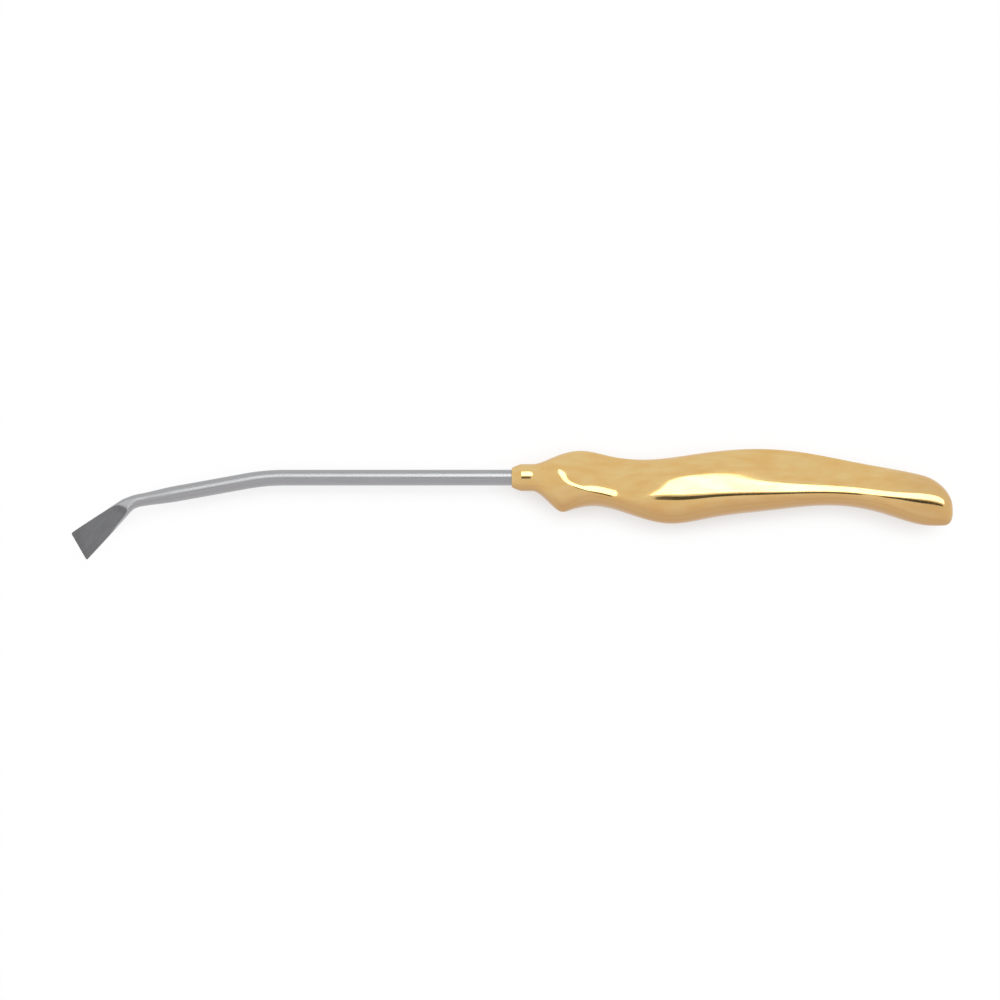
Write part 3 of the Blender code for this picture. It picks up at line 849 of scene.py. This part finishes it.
def satin_steel():
    """Steel drawn lengthwise to a satin finish on the rod, and ground on the blade to a darker grey face,
    partly its finish and partly painted shade for the dark it reflects.
    """
    material, tree, shader = new_metal("satin_steel")
    drawn = noise(tree, stretched(tree, uv_place(tree, "along_and_around"), (0.08, 7.0, 1.0)), 1.0, 4.0, 0.6)
    scored = noise(tree, stretched(tree, uv_place(tree, "over_the_blade"), (0.18, 6.0, 1.0)), 1.0, 4.0, 0.65)
    cut = remap(tree, kept_value(tree, "ground"), BARELY_GROUND, FULLY_GROUND, 0.0, 1.0, smooth=True)
    rod_colour = blend_colours(tree, remap(tree, drawn, 0.35, 0.65, 0.0, 1.0), ROD_DARK, ROD_LIGHT)
    # Partly painted shade: the ground face's grey is far darker than steel, standing in for the dark its
    # flat face reflects
    face_finish_and_shade = blend_colours(tree, remap(tree, scored, 0.3, 0.7, 0.0, 1.0), FACE_FINISH_AND_SHADE_DARK, FACE_FINISH_AND_SHADE_LIGHT)
    tree.links.new(blend_colours(tree, cut, rod_colour, face_finish_and_shade), shader.inputs["Base Color"])
    rod_rough = remap(tree, drawn, 0.35, 0.65, 0.33, 0.42)
    face_rough = remap(tree, scored, 0.3, 0.7, 0.42, 0.52)
    mixed = maths(tree, "ADD", maths(tree, "MULTIPLY", maths(tree, "SUBTRACT", 1.0, cut), rod_rough),
                  maths(tree, "MULTIPLY", cut, face_rough))
    tree.links.new(mixed, shader.inputs["Roughness"])
    grain = tree.nodes.new("ShaderNodeTangent")
    grain.direction_type = "UV_MAP"
    grain.uv_map = "along_and_around"
    tree.links.new(grain.outputs["Tangent"], shader.inputs["Tangent"])
    tree.links.new(remap(tree, cut, 0.0, 1.0, DRAWN_STRETCH, 0.0), shader.inputs["Anisotropic"])
    lengthwise = bump(tree, drawn, DRAWN_LINE_HEIGHT)
    scratches = bump(tree, maths(tree, "MULTIPLY", scored, cut), SCORE_HEIGHT, lengthwise)
    tree.links.new(scratches, shader.inputs["Normal"])
    return material


def solder():
    """Dull silver solder, a little grainy."""
    material, tree, shader = new_metal("silver_solder")
    grain = noise(tree, object_place(tree), 2500.0, 3.0)
    tree.links.new(blend_colours(tree, grain, SOLDER_DARK, SOLDER_LIGHT), shader.inputs["Base Color"])
    tree.links.new(remap(tree, grain, 0.3, 0.7, 0.3, 0.42), shader.inputs["Roughness"])
    return material


def rest_matrix(grip):
    """The turn onto the flank, and the shift that sets the drawn grip where the solid one lies."""
    turn = Matrix.Rotation(-REST_PITCH, 4, "Y") @ Matrix.Rotation(-REST_ROLL, 4, "X")
    corners = np.array([turn @ vertex.co for vertex in grip.data.vertices])
    low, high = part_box("grip")
    shift = (low + high) / 2 - Vector((corners.min(axis=0) + corners.max(axis=0)) / 2)
    return Matrix.Translation(shift) @ turn


def place_pieces(grip, shaft, joint):
    lying = rest_matrix(grip)
    for piece, slot in ((grip, "grip_plating"), (shaft, "steel"), (joint, "steel")):
        piece.data.transform(lying)
        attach(piece, "root")
    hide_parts("grip")
    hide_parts("shaft_and_blade")


def add_camera():
    data = bpy.data.cameras.new("camera")
    data.lens = CAMERA_LENS
    data.sensor_width = CAMERA_SENSOR
    camera = bpy.data.objects.new("camera", data)
    away = Vector((0.0, -math.sin(VIEW_LEAN), math.cos(VIEW_LEAN)))
    camera.location = VIEW_TARGET + away * (VIEW_WIDTH * CAMERA_LENS / CAMERA_SENSOR)
    camera.rotation_euler = (VIEW_LEAN, 0.0, 0.0)
    bpy.context.scene.collection.objects.link(camera)
    bpy.context.scene.camera = camera


def inside_softbox(tree):
    """1 on the softbox's cloth, and 0 outside the quarter ellipses that round its two far corners."""
    place = tree.nodes.new("ShaderNodeSeparateXYZ")
    tree.links.new(tree.nodes.new("ShaderNodeNewGeometry").outputs["Position"], place.inputs["Vector"])
    x = place.outputs["X"]
    near_left = remap(tree, x, SOFTBOX_LEFT, SOFTBOX_LEFT + SOFTBOX_LEFT_ROUNDING, 1.0, 0.0)
    near_right = remap(tree, x, SOFTBOX_RIGHT - SOFTBOX_RIGHT_ROUNDING, SOFTBOX_RIGHT, 0.0, 1.0)
    along = maths(tree, "MAXIMUM", near_left, near_right)
    middle = SOFTBOX_DISTANCE * math.sin(SOFTBOX_ANGLE)
    half = SOFTBOX_HEIGHT / 2 * math.cos(SOFTBOX_ANGLE)
    across = remap(tree, place.outputs["Y"], middle - half, middle + half, 0.0, 1.0)
    reach = maths(tree, "ADD", maths(tree, "POWER", along, 2.0), maths(tree, "POWER", across, 2.0))
    return maths(tree, "LESS_THAN", reach, 1.0)


def add_softbox():
    """One long softbox on the spine's side of the table, which draws the bright band on the metal."""
    width = SOFTBOX_RIGHT - SOFTBOX_LEFT
    data = bpy.data.lights.new("softbox", "AREA")
    data.shape = "RECTANGLE"
    data.size = width
    data.size_y = SOFTBOX_HEIGHT
    data.energy = math.pi * width * SOFTBOX_HEIGHT * SOFTBOX_LEVEL
    data.use_nodes = True
    strength = data.node_tree.nodes["Emission"].inputs["Strength"]
    connect(data.node_tree, strength, inside_softbox(data.node_tree))
    lamp = bpy.data.objects.new("softbox", data)
    up = Vector((0.0, math.sin(SOFTBOX_ANGLE), math.cos(SOFTBOX_ANGLE)))
    lamp.location = up * SOFTBOX_DISTANCE + Vector(((SOFTBOX_LEFT + SOFTBOX_RIGHT) / 2, 0.0, 0.0))
    lamp.rotation_euler = (-SOFTBOX_ANGLE, 0.0, 0.0)
    bpy.context.scene.collection.objects.link(lamp)


def add_tent():
    """A pale tent of even light, a little darker and warmer in front."""
    world = bpy.data.worlds.new("tent")
    world.use_nodes = True
    tree = world.node_tree
    parts = tree.nodes.new("ShaderNodeSeparateXYZ")
    tree.links.new(tree.nodes.new("ShaderNodeTexCoord").outputs["Generated"], parts.inputs["Vector"])
    background = tree.nodes["Background"]
    front = remap(tree, parts.outputs["Y"], 0.0, -0.6, 0.0, 1.0)
    tree.links.new(blend_colours(tree, front, TENT_WHITE, TENT_FRONT), background.inputs["Color"])
    bpy.context.scene.world = world


def add_flag():
    """A dark flag over the camera, for the dark line along the crest of the polished metal."""
    material = bpy.data.materials.new("dark_cloth")
    material.use_nodes = True
    shader = material.node_tree.nodes["Principled BSDF"]
    shader.inputs["Base Color"].default_value = (*CLOTH_GREY, 1.0)
    shader.inputs["Roughness"].default_value = 0.9
    shader.inputs["Specular IOR Level"].default_value = 0.1
    front = [(FLAG_LEFT, FLAG_LEFT_FRONT), (FLAG_RIGHT, FLAG_RIGHT_FRONT)]
    back = [(FLAG_RIGHT, FLAG_BACK), (FLAG_LEFT, FLAG_BACK)]
    mesh = bpy.data.meshes.new("flag")
    mesh.from_pydata([(x, y, FLAG_HEIGHT) for x, y in front + back], [], [(0, 1, 2, 3)])
    mesh.materials.append(material)
    flag = bpy.data.objects.new("flag", mesh)
    flag.visible_camera = False
    bpy.context.scene.collection.objects.link(flag)


def pale_floor():
    """White card, which glows where the camera and the metal see it, but for the shadow close by."""
    material = bpy.data.materials.new("white_card")
    material.use_nodes = True
    tree = material.node_tree
    tree.nodes.clear()
    card = tree.nodes.new("ShaderNodeBsdfDiffuse")
    card.inputs["Color"].default_value = (*CARD_WHITE, 1.0)
    glow = tree.nodes.new("ShaderNodeEmission")
    path = tree.nodes.new("ShaderNodeLightPath")
    seen = maths(tree, "MAXIMUM", path.outputs["Is Camera Ray"], path.outputs["Is Glossy Ray"])
    seen = maths(tree, "MAXIMUM", seen, path.outputs["Is Transmission Ray"])
    blend = tree.nodes.new("ShaderNodeMixShader")
    open_air = tree.nodes.new("ShaderNodeAmbientOcclusion")
    open_air.inputs["Distance"].default_value = SHADOW_REACH
    lift = remap(tree, open_air.outputs["AO"], 0.5, 0.91, 0.50, 0.97)
    connect(tree, blend.inputs["Fac"], maths(tree, "MULTIPLY", seen, lift))
    tree.links.new(card.outputs["BSDF"], blend.inputs[1])
    tree.links.new(glow.outputs["Emission"], blend.inputs[2])
    output = tree.nodes.new("ShaderNodeOutputMaterial")
    tree.links.new(blend.outputs["Shader"], output.inputs["Surface"])
    return material


def add_floor():
    mesh = bpy.data.meshes.new("floor")
    builder = bmesh.new()
    bmesh.ops.create_circle(builder, cap_ends=True, segments=96, radius=FLOOR_RADIUS)
    builder.to_mesh(mesh)
    builder.free()
    mesh.materials.append(pale_floor())
    floor = bpy.data.objects.new("floor", mesh)
    floor.location.z = -FLOOR_DEPTH
    bpy.context.scene.collection.objects.link(floor)


def set_colours():
    bpy.context.scene.view_settings.view_transform = "Standard"


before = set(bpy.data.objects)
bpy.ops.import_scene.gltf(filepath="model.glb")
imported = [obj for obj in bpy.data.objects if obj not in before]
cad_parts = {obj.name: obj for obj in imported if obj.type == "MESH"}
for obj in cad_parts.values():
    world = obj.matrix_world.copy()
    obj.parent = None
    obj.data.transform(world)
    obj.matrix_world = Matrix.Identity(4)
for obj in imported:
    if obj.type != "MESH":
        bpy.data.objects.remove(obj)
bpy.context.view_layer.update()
add_camera()
grip = make_grip(gold_plating())
shaft = make_shaft(satin_steel())
joint = make_solder(solder())
place_pieces(grip, shaft, joint)
add_softbox()
add_tent()
add_flag()
add_floor()
set_colours()
